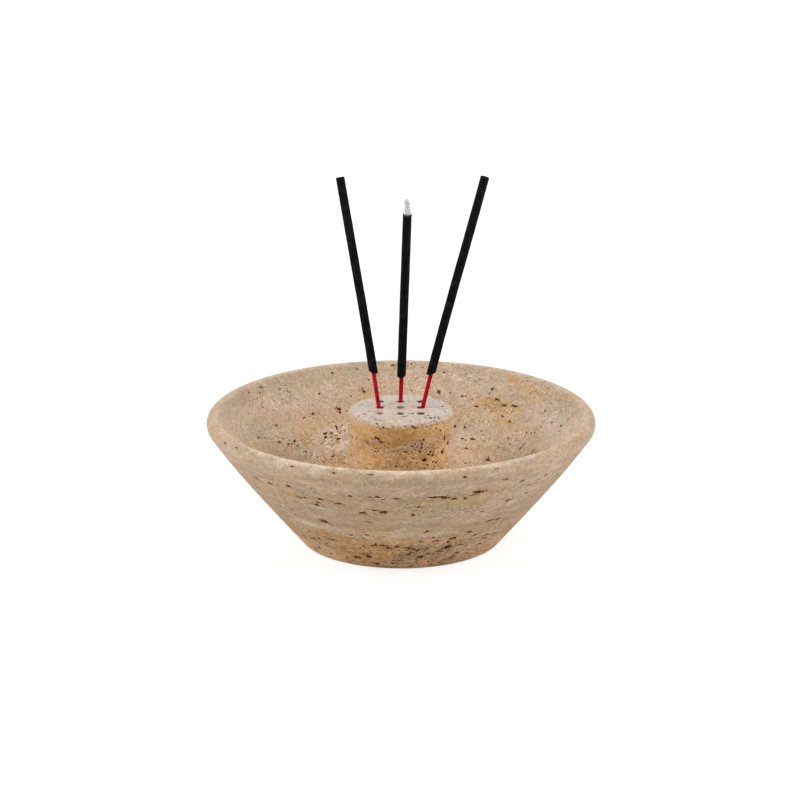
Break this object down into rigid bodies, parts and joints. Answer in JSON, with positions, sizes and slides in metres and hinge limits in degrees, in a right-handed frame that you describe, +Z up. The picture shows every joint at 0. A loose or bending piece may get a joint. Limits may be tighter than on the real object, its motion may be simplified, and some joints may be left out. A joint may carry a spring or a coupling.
{
  "type": "incense holder",
  "caption": "Round stone bowl with a drilled centre post that holds leaning incense sticks and catches their ash.",
  "frame": {"origin": "centre of the flat ground underside that the bowl stands on", "axes": "+Z up along the axis of the bowl and the post, +X to the right and -Y to the front as the holder is pictured; the holes lie in rows along X and Y"},
  "size_m": [0.12, 0.12, 0.1145],
  "materials": {
    "pale_travertine": "honed, open pored",
    "golden_travertine": "honed, open pored",
    "red_bamboo": "dyed, bare",
    "charcoal_paste": "dry matt paste",
    "white_ash": "powdery"
  },
  "bodies": {
    "holder": {"bowl": "pale_travertine", "post": "golden_travertine"},
    "left_stick": {"left_stick_core": "red_bamboo", "left_stick_coat": "charcoal_paste"},
    "middle_stick": {"middle_stick_core": "red_bamboo", "middle_stick_coat": "charcoal_paste", "middle_stick_ash": "white_ash"},
    "right_stick": {"right_stick_core": "red_bamboo", "right_stick_coat": "charcoal_paste"}
  },
  "joints": [
    {"name": "left_stick_pull", "type": "slide", "parent": "holder", "child": "left_stick", "axis": [-0.1644, 0.1859, 0.9687], "range_m": [0, 0.03]},
    {"name": "middle_stick_pull", "type": "slide", "parent": "holder", "child": "middle_stick", "axis": [0.0302, -0.2463, 0.9687], "range_m": [0, 0.03]},
    {"name": "right_stick_pull", "type": "slide", "parent": "holder", "child": "right_stick", "axis": [0.2482, 0, 0.9687], "range_m": [0, 0.03]}
  ]
}
